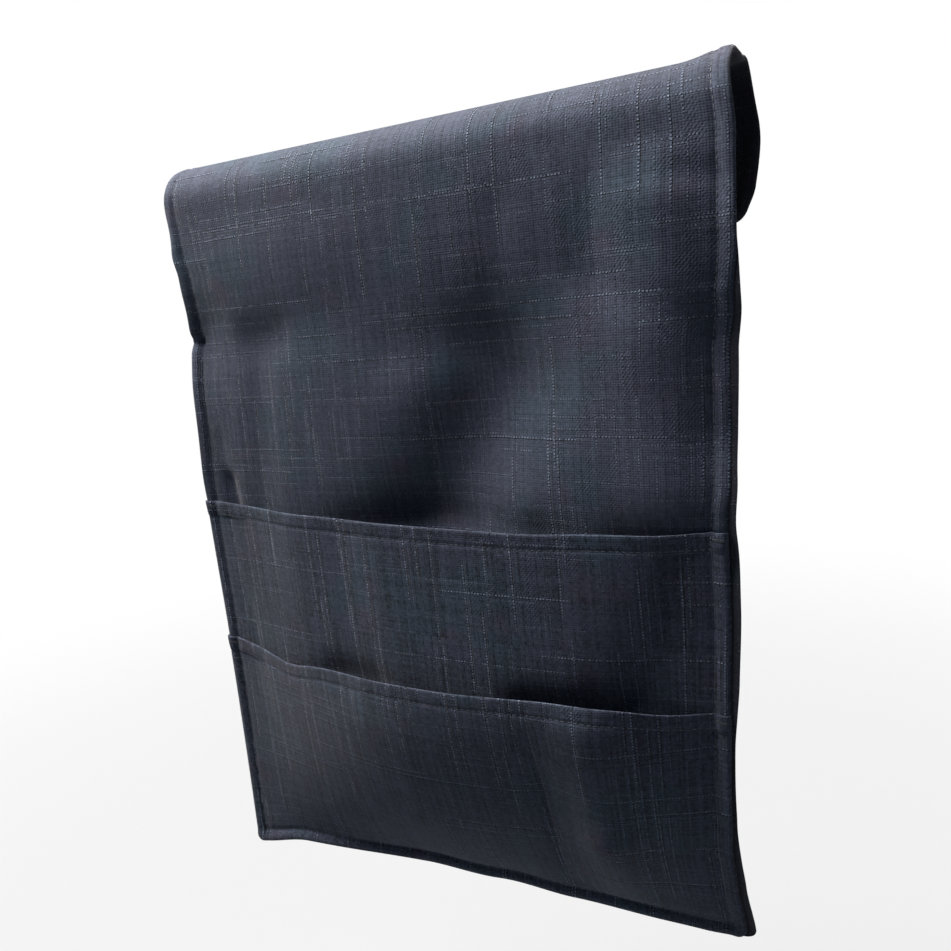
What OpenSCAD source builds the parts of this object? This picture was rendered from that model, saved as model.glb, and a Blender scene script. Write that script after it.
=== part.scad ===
// Armrest caddy: a lined cloth strip that hangs over the arm of a chair.
// The long front drop carries two pocket panels, one over the other, and the short rear flap
// balances it behind the arm. Millimetres, +Z up, +X along the arm, the pockets face -Y.
// The origin is the middle of the seat, where the crown of the strip rests on the arm.

/* [Strip] */
// Width of the strip along the arm
strip_w = 320; // [260:1:380]
// Bottom of the front drop below the seat
front_drop = 430; // [390:1:520]
// Bottom of the rear flap below the seat
rear_drop = 64; // [50:1:120]
// Radius of the four bottom corners
corner_r = 6; // [3:0.5:10]

/* [Arm] */
// Width of the arm that the strip hangs over
arm_w = 60; // [50:1:90]
// Free space between the arm and the strip on each side
arm_slack = 1; // [0.5:0.1:4]
// Inside radius of the two bends over the arm
bend_r = 19.5; // [12:0.5:24]

/* [Layers] */
// Thickness of the face cloth
face_t = 0.8; // [0.5:0.1:1.5]
// Thickness of the interlining
interlining_t = 1.2; // [0.6:0.1:2]
// Thickness of the lining
lining_t = 0.5; // [0.3:0.1:1]
// Thickness of the pocket cloth
pocket_t = 0.8; // [0.5:0.1:1.5]
// Air between two layers that are sewn together
layer_gap = 0.1; // [0.05:0.05:0.2]
// Air between a pocket panel and the cloth that it is sewn to
seam_gap = 0.2; // [0.15:0.05:0.4]
// How far the lining stops short of the edge
lining_inset = 1.5; // [1:0.1:3]

/* [Pockets] */
// Mouth of the upper pocket below the seat, at its sewn ends
upper_mouth = 197; // [150:1:225]
// Mouth of the lower pocket below the seat, at its sewn ends
lower_mouth = 287; // [270:1:320]
// Height of the folded hem along each mouth
hem_h = 9; // [6:0.5:14]
// Sag of the upper mouth at its middle
upper_sag = 4.5; // [0:0.5:8]
// Sag of the lower mouth at its middle
lower_sag = 2; // [0:0.5:8]
// How far the upper pocket stands off the drop at its mouth
upper_bow = 11; // [9:0.5:20]
// How far the lower pocket stands off the upper one at its mouth
lower_bow = 12; // [9:0.5:20]
// Distance of the divider seam from the left edge
divider_from_left = 222; // [150:1:230]

/* [Stitching] */
// Distance of the edge stitching from the edge
stitch_inset = 7.5; // [5:0.5:10]
// Width of a row of stitching
thread_w = 0.6; // [0.4:0.1:1]
// Height of a row of stitching
thread_h = 0.4; // [0.3:0.1:0.6]
// Width of a bar tack along the mouth
tack_w = 5; // [3:0.5:6]
// Height of a bar tack
tack_h = 1.4; // [1:0.1:2.5]

/* [Drape] */
// How far the cloth slants forward below the bend at its sewn edges
edge_lead = 2.4; // [0:0.1:4]
// How far it slants forward between them
middle_lead = 4.6; // [0:0.1:8]
// How much further forward the drop stands at the upper mouth
belly = 4; // [0:0.5:6]
// How far the bottom of the drop swings back towards the chair
tail_back = 24; // [0:0.5:28]
// Depth of the crease under the arm
crease_depth = 2; // [0:0.5:4]
// Depth of the smaller hanging folds
fold_depth = 4; // [0:0.5:6]
// Radius of the outward curl of the rear flap
flap_curl_r = 170; // [120:5:400]

/* [Hidden] */

$fn = 96;
face_colour = [0.20, 0.22, 0.26];
pocket_colour = [0.22, 0.24, 0.28];
lining_colour = [0.13, 0.14, 0.17];
interlining_colour = [0.72, 0.71, 0.68];
thread_colour = [0.30, 0.33, 0.39];

// The layers, counted outwards from the side that lies on the arm
lining_in = 0;
lining_out = lining_in + lining_t;
interlining_in = lining_out + layer_gap;
interlining_out = interlining_in + interlining_t;
face_in = interlining_out + layer_gap;
face_out = face_in + face_t;
thread_gap = 0.2;
thread_in = face_out + thread_gap;

// The arch over the arm and the two lines where the drop and the flap bend away from it
half_w = strip_w / 2;
arch_half = arm_w / 2 + arm_slack;
crown_half = arch_half - bend_r;
bend_z = -bend_r;
hinge_gap = 0.3;
hang_z = bend_z - hinge_gap;
front_y = -(arch_half + face_out);
rear_y = arch_half + face_out;
thread_start = 1;

// Heights on the front drop
bottom_z = -front_drop;
bottom_seam_z = bottom_z + stitch_inset;
seam_half = half_w - stitch_inset;
divider_x = divider_from_left - half_w;

// The grid of the hanging cloth
inner_half = seam_half - corner_r - 1;
left_cells = 10;
right_cells = 4;
arm_cells = 10;
upper_cells = 5;
lower_cells = 8;
upper_pocket_cells = 12;
lower_pocket_cells = 8;

// Main folds of the drop between the arm and the upper mouth.
// Each is [from x, from z, to x, to z, half width, depth], where depth is towards the chair.
FOLDS = [
    [-165, -97, 110, -75, 18, crease_depth],
    [-178, -96, -150, -94, 20, 2.2 * crease_depth],
    [0, -96, 62, -80, 17, 1.5 * crease_depth],
    [-120, -62, -60, -62, 30, -0.6 * fold_depth],
    [-104, -115, -118, -200, 10, 0.75 * fold_depth],
    [-14, -236, 46, -136, 30, 2 * fold_depth],
    [-44, -216, 60, -216, 20, 0.9 * fold_depth],
    [166, -84, 168, -126, 26, 2.25 * fold_depth],
    [114, -60, 92, -155, 26, -0.8 * fold_depth]
];
// Swells and hollows of the pocket panels, as a share of their stand-off at that place.
UPPER_SWELLS = [
    [-108, -205, -112, -290, 15, 0.35],
    [-72, -210, -76, -285, 13, -0.25],
    [-34, -268, 38, -276, 34, 0.1],
    [108, -235, 140, -272, 24, -0.3]
];
LOWER_SWELLS = [
    [-40, -315, 0, -320, 40, 0.1],
    [92, -300, 90, -390, 11, 0.4],
    [122, -318, 136, -380, 15, -0.35]
];

function clamp(t) = max(0, min(1, t));
function smooth(t) = let (c = clamp(t)) c * c * (3 - 2 * c);
function span(a, b, n) = [for (k = [0 : n]) a + (b - a) * k / n];
function tail(list) = [for (k = [1 : len(list) - 1]) list[k]];
function total(list) = list * [for (v = list) 1];

// Depth of one fold at a point of the cloth
function fold_at(x, z, f) =
    let (
        dx = f[2] - f[0],
        dz = f[3] - f[1],
        t = clamp(((x - f[0]) * dx + (z - f[1]) * dz) / (dx * dx + dz * dz)),
        off = [x - f[0] - t * dx, z - f[1] - t * dz]
    )
    f[5] * exp(-(off * off) / (f[4] * f[4]));
function folds_at(x, z, list) = total([for (f = list) fold_at(x, z, f)]);

// The drop without its folds: it slants forward below the bend, less so at its sewn edges, and
// swings back at the bottom, less at the left corner than at the right
lead_run = 45;
lead_low = -330;
left_ramp = 45;
right_ramp = 70;
right_spill = 30;
belly_top = bend_z - 35;
belly_run = 140;
tail_top = -300;
function lead_at(x, z) =
    let (
        inside = smooth((half_w + x) / left_ramp) * smooth((half_w + right_spill - x) / right_ramp),
        left = 1 - clamp((hang_z - z) / lead_run)
    )
    (edge_lead + (middle_lead - edge_lead) * inside) * (1 - left * left)
    * (1 - smooth((lead_low - z) / (lead_low - bottom_z)));
function belly_at(z) = belly * smooth((belly_top - z) / belly_run);
function tail_at(x, z) =
    tail_back * pow(clamp((tail_top - z) / (tail_top - bottom_z)), 2)
    * (1 - 1.1 * pow((half_w - x) / strip_w, 3));
function base_y(x, z) = front_y - lead_at(x, z) - belly_at(z) + tail_at(x, z);

// Outside of the face cloth: the folds start below the bend and end behind the upper pocket
function fold_share(z) = smooth((bend_z - 5 - z) / 30) * (1 - smooth((-upper_mouth - z) / 40));
function face_y(x, z) = base_y(x, z) + fold_share(z) * folds_at(x, z, FOLDS);

// Mouth lines and stand-off of the two pocket panels
function arc_share(x) = 1 - pow(clamp(abs(x) / seam_half), 2);
function upper_line(x) = -upper_mouth - upper_sag * arc_share(x);
function lower_line(x) = -lower_mouth - lower_sag * arc_share(x);
function plateau(d) = 1 - pow(clamp(abs(d)), 4);
function fill(z, mouth_z) = 1 - pow(clamp((mouth_z - z) / (mouth_z - bottom_seam_z)), 2.2);
function upper_bow_at(x, z) =
    upper_bow * plateau(x / seam_half) * fill(z, -upper_mouth) * (1 + folds_at(x, z, UPPER_SWELLS));
function lobe(x) =
    let (
        low = x < divider_x ? -seam_half : divider_x,
        high = x < divider_x ? divider_x : seam_half
    )
    plateau((2 * x - low - high) / (high - low));
function lower_bow_at(x, z) =
    lower_bow * lobe(x) * fill(z, -lower_mouth) * (1 + folds_at(x, z, LOWER_SWELLS));
function hem_t(z, line) = pocket_t * (z > line - hem_h - 0.01 ? 2 : 1);
function upper_in_y(x, z) = base_y(x, z) - seam_gap - upper_bow_at(x, z);
function upper_out_y(x, z) = upper_in_y(x, z) - hem_t(z, upper_line(x));
function lower_in_y(x, z) = upper_out_y(x, z) - seam_gap - lower_bow_at(x, z);
function lower_out_y(x, z) = lower_in_y(x, z) - hem_t(z, lower_line(x));

// Columns and rows of the grid. The outer columns follow the rounded bottom corners.
insets = [0, lining_inset, stitch_inset];
inner_columns = concat(
    span(-inner_half, divider_x, left_cells),
    tail(span(divider_x, inner_half, right_cells))
);
edge_cells = len(insets);
columns = 2 * edge_cells + len(inner_columns);
function edge_at(z) =
    let (d = max(0, bottom_z + corner_r - z))
    half_w - corner_r + sqrt(max(0, corner_r * corner_r - d * d));
function column_x(j, z) =
    j < edge_cells ? insets[j] - edge_at(z)
    : j >= columns - edge_cells ? edge_at(z) - insets[columns - 1 - j]
    : inner_columns[j - edge_cells];
border_rows = [
    bottom_seam_z,
    bottom_z + (stitch_inset + lining_inset) / 2,
    bottom_z + lining_inset,
    bottom_z
];
face_rows = concat(
    span(hang_z, -upper_mouth, arm_cells),
    tail(span(-upper_mouth, -lower_mouth, upper_cells)),
    tail(span(-lower_mouth, bottom_seam_z, lower_cells)),
    tail(border_rows)
);

// A grid of points [x, y, z] with the y of a layer, from rows of z that may change with x
function face_grid(offset, trim) =
    [for (i = [0 : len(face_rows) - 1 - trim_rows(trim)])
        [for (j = [trim : columns - 1 - trim])
            let (z = face_rows[i], x = column_x(j, z)) [x, face_y(x, z) + offset, z]]];
function trim_rows(trim) = trim == 2 ? 3 : trim;

hem_step = 0.6;
function pocket_z(k, line, cells) =
    k == 0 ? line
    : k == 1 ? line - hem_h
    : k <= 2 + cells ? let (low = line - hem_h - hem_step)
        low + (bottom_seam_z - low) * (k - 2) / cells
    : border_rows[k - 2 - cells];
function pocket_row_count(cells) = cells + 2 + len(border_rows);
function upper_grid(inside) =
    [for (k = [0 : pocket_row_count(upper_pocket_cells) - 1])
        [for (j = [0 : columns - 1])
            let (
                flat_x = column_x(j, tail_top),
                z = pocket_z(k, upper_line(flat_x), upper_pocket_cells),
                x = column_x(j, z)
            )
            [x, inside ? upper_in_y(x, z) : upper_out_y(x, z), z]]];
function lower_grid(inside) =
    [for (k = [0 : pocket_row_count(lower_pocket_cells) - 1])
        [for (j = [0 : columns - 1])
            let (
                flat_x = column_x(j, tail_top),
                z = pocket_z(k, lower_line(flat_x), lower_pocket_cells),
                x = column_x(j, z)
            )
            [x, inside ? lower_in_y(x, z) : lower_out_y(x, z), z]]];

// A closed sheet of cloth between two grids of points, all in triangles
module sheet(outer, inner) {
    rows = len(outer);
    cols = len(outer[0]);
    shift = rows * cols;
    points = [for (grid = [outer, inner]) for (row = grid) for (p = row) p];
    quads = concat(
        [for (i = [0 : rows - 2]) for (j = [0 : cols - 2])
            let (a = i * cols + j) [a, a + 1, a + cols + 1, a + cols]],
        [for (i = [0 : rows - 2]) for (j = [0 : cols - 2])
            let (a = shift + i * cols + j) [a, a + cols, a + cols + 1, a + 1]],
        [for (j = [0 : cols - 2]) [j + 1, j, shift + j, shift + j + 1]],
        [for (j = [0 : cols - 2]) let (a = (rows - 1) * cols + j) [a, a + 1, shift + a + 1, shift + a]],
        [for (i = [0 : rows - 2]) let (a = i * cols) [a, a + cols, shift + a + cols, shift + a]],
        [for (i = [0 : rows - 2]) let (a = i * cols + cols - 1) [a + cols, a, shift + a, shift + a + cols]]
    );
    polyhedron(points, [for (q = quads) for (t = [[q[0], q[1], q[2]], [q[0], q[2], q[3]]]) t]);
}

// A row of stitching along points [x, y, z] that lie on the cloth, to one side of which it is wide
module thread_row(path, across) {
    outer = [for (side = [-0.5, 0.5]) [for (p = path) p + side * thread_w * across - [0, thread_h, 0]]];
    inner = [for (side = [-0.5, 0.5]) [for (p = path) p + side * thread_w * across]];
    sheet(outer, inner);
}

// The arch over the arm, from the arm outwards to a given distance, down to a given height
module arch_area(out, low_z) {
    intersection() {
        union() {
            for (side = [-1, 1])
                translate([side * crown_half, bend_z])
                    circle(r = bend_r + out);
            translate([-crown_half, bend_z])
                square([2 * crown_half, bend_r + out]);
        }
        translate([-2 * arch_half, low_z])
            square([4 * arch_half, 2 * bend_r]);
    }
}

module arch_layer(in, out, width, low_z = bend_z) {
    rotate([90, 0, 90])
        linear_extrude(height = width, center = true)
            difference() {
                arch_area(out, low_z);
                arch_area(in, low_z);
            }
}

// The rear flap's outline, seen from behind, set in from the edges
module flap_outline(inset, top_z) {
    r = max(1, corner_r - inset);
    half = half_w - inset;
    low = -rear_drop + inset;
    translate([-half, low + r])
        square([2 * half, top_z - low - r]);
    translate([-half + r, low])
        square([2 * (half - r), 2 * r]);
    for (side = [-1, 1])
        translate([side * (half - r), low + r])
            circle(r = r);
}

// A layer of the flap, which curls outwards on a large radius
module flap_layer(in, out) {
    depth = 2 * arch_half;
    intersection() {
        rotate([90, 0, 90])
            linear_extrude(height = strip_w + 2, center = true)
                intersection() {
                    translate([rear_y + flap_curl_r, bend_z])
                        difference() {
                            circle(r = flap_curl_r + face_out - in);
                            circle(r = flap_curl_r + face_out - out);
                        }
                    translate([0, -2 * rear_drop])
                        square([rear_y + depth, 2 * rear_drop]);
                }
        translate([0, rear_y + depth, 0])
            rotate([90, 0, 0])
                linear_extrude(height = 2 * depth)
                    children();
    }
}

module face_front() {
    color(face_colour)
        sheet(face_grid(0, 0), face_grid(face_t, 0));
}

module face_saddle() {
    color(face_colour)
        arch_layer(face_in, face_out, strip_w);
}

module face_rear() {
    color(face_colour)
        flap_layer(face_in, face_out)
            flap_outline(0, hang_z);
}

module interlining_front() {
    color(interlining_colour)
        sheet(face_grid(face_out - interlining_out, 2), face_grid(face_out - interlining_in, 2));
}

module interlining_saddle() {
    color(interlining_colour)
        arch_layer(interlining_in, interlining_out, strip_w - 2 * stitch_inset);
}

module interlining_rear() {
    color(interlining_colour)
        flap_layer(interlining_in, interlining_out)
            flap_outline(stitch_inset, hang_z);
}

module lining_front() {
    color(lining_colour)
        sheet(face_grid(face_out - lining_out, 1), face_grid(face_out - lining_in, 1));
}

module lining_saddle() {
    color(lining_colour)
        arch_layer(lining_in, lining_out, strip_w - 2 * lining_inset);
}

module lining_rear() {
    color(lining_colour)
        flap_layer(lining_in, lining_out)
            flap_outline(lining_inset, hang_z);
}

module upper_pocket() {
    color(pocket_colour)
        sheet(upper_grid(false), upper_grid(true));
}

module lower_pocket() {
    color(pocket_colour)
        sheet(lower_grid(false), lower_grid(true));
}

// What lies on the drop along its sewn edges, as a thickness at a height
upper_stack = seam_gap + pocket_t;
lower_stack = upper_stack + seam_gap + pocket_t;
mouth_rise = 3;
mouth_step = 0.5;
STACK = [
    [bottom_z, lower_stack],
    [-lower_mouth - hem_h - mouth_rise, lower_stack],
    [-lower_mouth - hem_h, lower_stack + pocket_t],
    [-lower_mouth + mouth_step, lower_stack + pocket_t],
    [-lower_mouth + mouth_rise, upper_stack],
    [-upper_mouth - hem_h - mouth_rise, upper_stack],
    [-upper_mouth - hem_h, upper_stack + pocket_t],
    [-upper_mouth + mouth_step, upper_stack + pocket_t],
    [-upper_mouth + mouth_rise, 0],
    [0, 0]
];
function seam_y(x, z) = face_y(x, z) - lookup(z, STACK) - thread_gap;
edge_rows = concat(
    [hang_z - thread_start],
    [for (k = [1 : arm_cells - 1]) face_rows[k]],
    [-upper_mouth + mouth_rise, -upper_mouth + mouth_step, -upper_mouth - hem_h],
    span(-upper_mouth - hem_h - mouth_rise, -lower_mouth + mouth_rise, upper_cells),
    [-lower_mouth + mouth_step, -lower_mouth - hem_h],
    span(-lower_mouth - hem_h - mouth_rise, bottom_seam_z + thread_w, lower_cells)
);

module edge_stitch_front() {
    color(thread_colour) {
        for (side = [-1, 1])
            thread_row(
                [for (z = edge_rows)
                    let (x = side * (seam_half + thread_w / 2)) [x, seam_y(x, z), z]],
                [-1, 0, 0]
            );
        thread_row(
            [for (x = concat([-seam_half], inner_columns, [seam_half]))
                let (z = bottom_seam_z - thread_w / 2) [x, seam_y(x, z), z]],
            [0, 0, -1]
        );
    }
}

module edge_stitch_saddle() {
    color(thread_colour)
        for (side = [-1, 1])
            translate([side * (seam_half + thread_w / 2), 0, 0])
                arch_layer(thread_in, thread_in + thread_h, thread_w, bend_z + thread_start);
}

module edge_stitch_rear() {
    color(thread_colour)
        flap_layer(thread_in, thread_in + thread_h)
            difference() {
                flap_outline(stitch_inset - thread_w, hang_z - thread_start);
                flap_outline(stitch_inset, hang_z);
            }
}

hem_columns = concat([-seam_half + 2], inner_columns, [seam_half - 2]);

module upper_hem_stitch() {
    color(thread_colour)
        thread_row(
            [for (x = hem_columns)
                let (z = upper_line(x) - hem_h + thread_w)
                [x, upper_out_y(x, z) - thread_gap, z]],
            [0, 0, -1]
        );
}

module lower_hem_stitch() {
    color(thread_colour)
        thread_row(
            [for (x = hem_columns)
                let (z = lower_line(x) - hem_h + thread_w)
                [x, lower_out_y(x, z) - thread_gap, z]],
            [0, 0, -1]
        );
}

module divider_stitch() {
    top = lower_line(divider_x) - hem_h - mouth_rise;
    color(thread_colour)
        thread_row(
            [for (z = span(top, bottom_seam_z + 2 * thread_w, 2 * lower_cells))
                [divider_x, lower_out_y(divider_x, z) - thread_gap, z]],
            [-1, 0, 0]
        );
}

// Bar tacks across the welt at the ends of each mouth
module bar_tacks() {
    mid = (half_w - lining_inset / 2 + seam_half + thread_w) / 2;
    reach = min(tack_w, half_w - seam_half - thread_w - lining_inset / 2) / 2;
    color(thread_colour)
        for (side = [-1, 1], mouth = [upper_mouth, lower_mouth])
            let (z = -mouth - hem_h / 3)
                thread_row_tack(side * mid, reach, z);
}

module thread_row_tack(x, reach, z) {
    y = min([for (dx = [-reach, reach]) for (dz = [0, tack_h]) seam_y(x + dx, z - dz)]);
    translate([x - reach, y - thread_h, z - tack_h])
        cube([2 * reach, thread_h, tack_h]);
}

face_front();
face_saddle();
face_rear();
interlining_front();
interlining_saddle();
interlining_rear();
lining_front();
lining_saddle();
lining_rear();
upper_pocket();
lower_pocket();
edge_stitch_front();
edge_stitch_saddle();
edge_stitch_rear();
upper_hem_stitch();
lower_hem_stitch();
divider_stitch();
bar_tacks();
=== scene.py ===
# %% [markdown]
# # Armrest caddy
# A long lined strip of dark slub cloth is made to hang folded over. Two pocket panels are sewn one
# over the other on its long front drop, and a short rear flap balances it at the back. The packed
# CAD model is the frame: it gives the bodies, the joints and the place of every piece. Everything
# below dresses that frame in cloth, in the same coordinates.

# %% Frame
import math
import bmesh
import bpy
import numpy as np
from mathutils import Matrix, Vector


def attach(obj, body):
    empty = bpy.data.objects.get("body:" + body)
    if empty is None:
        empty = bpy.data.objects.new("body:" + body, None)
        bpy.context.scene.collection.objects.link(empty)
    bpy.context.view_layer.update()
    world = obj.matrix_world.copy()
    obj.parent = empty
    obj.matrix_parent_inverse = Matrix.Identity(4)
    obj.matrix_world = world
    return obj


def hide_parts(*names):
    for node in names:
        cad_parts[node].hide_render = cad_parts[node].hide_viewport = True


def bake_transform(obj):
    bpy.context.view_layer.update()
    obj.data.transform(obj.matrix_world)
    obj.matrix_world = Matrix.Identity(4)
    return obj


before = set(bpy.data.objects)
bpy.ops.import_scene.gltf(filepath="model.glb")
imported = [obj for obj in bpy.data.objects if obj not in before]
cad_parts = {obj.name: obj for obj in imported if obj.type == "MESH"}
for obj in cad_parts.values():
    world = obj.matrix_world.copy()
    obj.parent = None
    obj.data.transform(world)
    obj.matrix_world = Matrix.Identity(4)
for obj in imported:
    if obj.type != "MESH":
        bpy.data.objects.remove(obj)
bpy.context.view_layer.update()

scene = bpy.context.scene

# %% [markdown]
# ## The camera
# The photograph was taken from close by, a little below the crown and to the right of the strip.
# The focal length is given in pixels of the square image, and the two axes of the image are given
# as directions, so the camera needs no aiming and no shift.

# %% Camera
IMAGE_PX = 951
focal_px = 829.25
camera_at = Vector((0.2284, -0.4032, -0.0906))
image_right = Vector((0.88483, 0.45704, -0.09043)).normalized()
image_down = Vector((0.01477, -0.22150, -0.97505))

camera_data = bpy.data.cameras.new("photo_camera")
camera_data.sensor_width = 36.0
camera_data.lens = camera_data.sensor_width * focal_px / IMAGE_PX
camera_data.clip_start = 0.01
camera = bpy.data.objects.new("photo_camera", camera_data)
camera_up = -(image_down - image_right * image_down.dot(image_right)).normalized()
camera_back = image_right.cross(camera_up)
axes = Matrix((image_right, camera_up, camera_back)).transposed()
camera.matrix_world = Matrix.Translation(camera_at) @ axes.to_4x4()
scene.collection.objects.link(camera)
scene.camera = camera
print("lens %.2f mm" % camera_data.lens)

# %% [markdown]
# ## Sizes
# The same named values as in the CAD source, in millimetres. The cloth below is made from nearly the
# same rules on a finer grid, so that it lies close to the solids.

# %% Sizes of the strip
MM = 0.001
strip_w = 320.0
half_w = strip_w / 2
front_drop = 430.0
rear_drop = 64.0
corner_r = 6.0
stitch_inset = 7.5
arch_half = 31.0
bend_r = 19.5
face_t = 0.8
lining_t = 0.5
strip_t = 2.7

outer_r = bend_r + strip_t
crown_half = arch_half - bend_r
bend_z = -bend_r
front_y = -(arch_half + strip_t)
bottom_z = -front_drop
bottom_seam_z = bottom_z + stitch_inset
seam_half = half_w - stitch_inset
arc_length = outer_r * math.pi / 2
bend_s = crown_half + arc_length
bottom_s = bend_s + bend_z - bottom_z
print("front half of the strip is %.0f mm long" % bottom_s)

# %% Sizes of the pockets
pocket_t = 0.8
upper_mouth = 197.0
lower_mouth = 287.0
upper_bow = 11.0
lower_bow = 12.0
divider_x = 62.0
print("pocket mouths %.0f and %.0f mm below the crown" % (upper_mouth, lower_mouth))

# %% [markdown]
# ## How the drop hangs
# A cloth of two layers and an interlining doesn't hang flat. It stands forward below the bend,
# creases a little further down, has a few soft folds above the pockets, and swings back at the
# bottom, most of all at the right. Each fold is a smooth dent along a line: two ends in x and z, a
# half width, and a depth that counts backwards. A cloth simulation would give folds too, but not
# these ones, so they are written down one by one.

# %% Folds
DROP_FOLDS = [
    (-165, -102, 110, -80, 18, 1.0),
    (-178, -98, -150, -96, 20, 2.8),
    (-12, -112, 54, -102, 16, 2.3),
    (-120, -62, -60, -62, 30, -1.2),
    (-106, -98, -88, -98, 11, 1.8),
    (54, -44, 50, -82, 10, 1.3),
    (102, -40, 97, -80, 10, 1.3),
    (104, -88, 140, -104, 9, 1.0),
    (-101, -110, -112, -200, 12, 1.7),
    (-144, -158, -137, -203, 6, 1.0),
    (-139, -182, -136, -206, 5, 2.6),
    (-172, -99, -153, -97.5, 4, 2.6),
    (-14, -236, 50, -130, 31, 12.6),
    (-44, -216, 60, -216, 20, 3.6),
    (34, -218, 66, -218, 18, 2.4),
    (112, -216, 150, -214, 16, 3.6),
    (166, -116, 168, -152, 20, 7.4),
    (131, -46, 131, -176, 26, -3.6),
    (134, -40, 120, -115, 22, -1.8),
    (142, -42, 154, -50, 9, 2.0),
    (120, -44, 148, -46, 6, 1.0),
]


def clamp(t):
    return np.clip(t, 0.0, 1.0)


def smooth(t):
    c = clamp(t)
    return c * c * (3 - 2 * c)


def bell(t):
    return np.exp(-t ** 2)


def rounded(t):
    """Rises from 0 to 1 as a quarter of a circle."""
    return np.sqrt(1 - (1 - clamp(t)) ** 2)


def folds_at(x, z, folds):
    depth = np.zeros(np.broadcast(x, z).shape)
    for x1, z1, x2, z2, width, deep in folds:
        dx = x2 - x1
        dz = z2 - z1
        t = clamp(((x - x1) * dx + (z - z1) * dz) / (dx * dx + dz * dz))
        off = (x - x1 - t * dx) ** 2 + (z - z1 - t * dz) ** 2
        depth = depth + deep * np.exp(-off / width ** 2)
    return depth


print("folds above the pockets:", len(DROP_FOLDS))

# %% Corner and forward slant
corner_fall = 8.0
corner_reach = 55.0
corner_x = 112.0
corner_z = -220.0
corner_across = 0.82
corner_down = 0.57
lead_edge = 2.5
lead_inside = 2.9
lead_run = 80.0
lead_from = 0.3
left_ease = 95.0
right_ease = 70.0
past_right = 30.0


def corner_back(x, z):
    """The lower right corner falls back from a line that slants across both pockets."""
    beyond = np.maximum(corner_across * (x - corner_x) - corner_down * (z - corner_z), 0)
    return corner_fall * (1 - bell(beyond / corner_reach))


def lead_at(x, run):
    """How far the cloth slants forward after a run below the crown, less so at its sewn edges."""
    inside = smooth((half_w + x) / left_ease) * smooth((half_w + past_right - x) / right_ease)
    return (lead_edge + lead_inside * inside) * (1 - (1 - clamp(run / lead_run)) ** 3)


print("the slant brings the cloth %.1f mm forward" % lead_at(0.0, lead_run))

# %% Front of the drop
belly = 4.0
belly_start = 35.0
belly_run = 140.0
tail_back = 16.0
tail_top = -300.0
left_hold = 1.1
hold_power = 2.2
return_top = -330.0
return_run = 100.0
return_reach = 200.0
fold_start = 5.0
fold_rise = 30.0
fold_fade = 40.0


def base_y(x, z):
    forward = belly * smooth((bend_z - belly_start - z) / belly_run)
    returned = smooth((return_top - z) / return_run) * smooth((half_w + x) / return_reach)
    lead = lead_at(x, bend_z - z + (1 - lead_from) * arc_length) * (1 - returned)
    swing = tail_back * clamp((tail_top - z) / (tail_top - bottom_z)) ** 2
    held = left_hold * clamp((half_w - x) / strip_w) ** hold_power
    return front_y - forward - lead + swing * (1 - held) + corner_back(x, z)


def drop_y(x, z):
    below_bend = smooth((bend_z - fold_start - z) / fold_rise)
    above_pockets = 1 - smooth((-upper_mouth - z) / fold_fade)
    return base_y(x, z) + below_bend * above_pockets * folds_at(x, z, DROP_FOLDS)


print("the drop's bottom right corner hangs at y = %.1f mm" % base_y(half_w, bottom_z))

# %% [markdown]
# ## The strip as a path
# A place on the strip is given by x across it and s along it, counted from the middle of the crown.
# The front half runs over the front bend and down the drop, the rear half over the rear bend and
# down the flap. Each function gives the point on the outer side and the direction outwards.

# %% Path of the two halves
flap_curl_r = 170.0


def front_path(x, s):
    turn = clamp((s - crown_half) / arc_length) * math.pi / 2
    drop = np.maximum(s - bend_s, 0)
    z = bend_z + outer_r * np.cos(turn) - drop
    y = -np.minimum(s, crown_half) - outer_r * np.sin(turn)
    slant = lead_at(x, s - crown_half - lead_from * arc_length)
    y = np.where(drop > 0, drop_y(x, z), y - slant)
    point = np.stack([x + 0 * s, y, z + 0 * x], -1)
    out = np.stack([0 * x * s, -np.sin(turn) + 0 * x, np.cos(turn) + 0 * x], -1)
    return point, out


def rear_path(x, s):
    turn = clamp((s - crown_half) / arc_length) * math.pi / 2
    curl = np.maximum(s - bend_s, 0) / flap_curl_r
    y = np.minimum(s, crown_half) + outer_r * np.sin(turn) + flap_curl_r * (1 - np.cos(curl))
    z = bend_z + outer_r * np.cos(turn) - flap_curl_r * np.sin(curl)
    point = np.stack([x + 0 * s, y + 0 * x, z + 0 * x], -1)
    out = np.stack([0 * x * s, np.sin(turn + curl) + 0 * x, np.cos(turn + curl) + 0 * x], -1)
    return point, out


flap_s = bend_s + flap_curl_r * math.asin((rear_drop + bend_z) / flap_curl_r)
print("rear half of the strip is %.0f mm long" % flap_s)

# %% [markdown]
# ## The sewn edge
# Face and lining are sewn together inside out, turned, and topstitched near the edge. The seam
# allowance inside makes a round welt along the edge, and the stitching pulls a groove beside it.
# That is a profile of thickness over the distance from the edge, with small puckers along the
# stitching. The edge itself isn't a ruler's line: it wanders by a few millimetres, and it curls
# forward at the sides and along the bottom. At the right the near-black lining looks out past it
# as a thin strip of painted shade along the shaded side of the edge.

# %% Welt profile
half_t = strip_t / 2
rim_r = 1.5
welt_swell = 0.85
welt_at = 3.6
welt_width = 2.4
welt_pinch = 0.6
pinch_width = 1.3
pucker_depth = 0.2
pucker_reach = 4.5
pucker_wave = 2.1
pucker_fine = 1.27
uneven_wave = 17.0
fine_ripple = 0.7
fine_turn = 2.3
uneven_turn = 1.7
even_share = 0.6
face_phase = 0.4


def half_thickness(d):
    swell = welt_swell * bell((d - welt_at) / welt_width)
    pinch = welt_pinch * bell((d - stitch_inset) / pinch_width)
    return rounded(d / rim_r) * (half_t + swell - pinch)


def ripple(along, length, fine_length, phase, fine_phase):
    return np.sin(along / length + phase) + fine_ripple * np.sin(along / fine_length + fine_phase)


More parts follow.
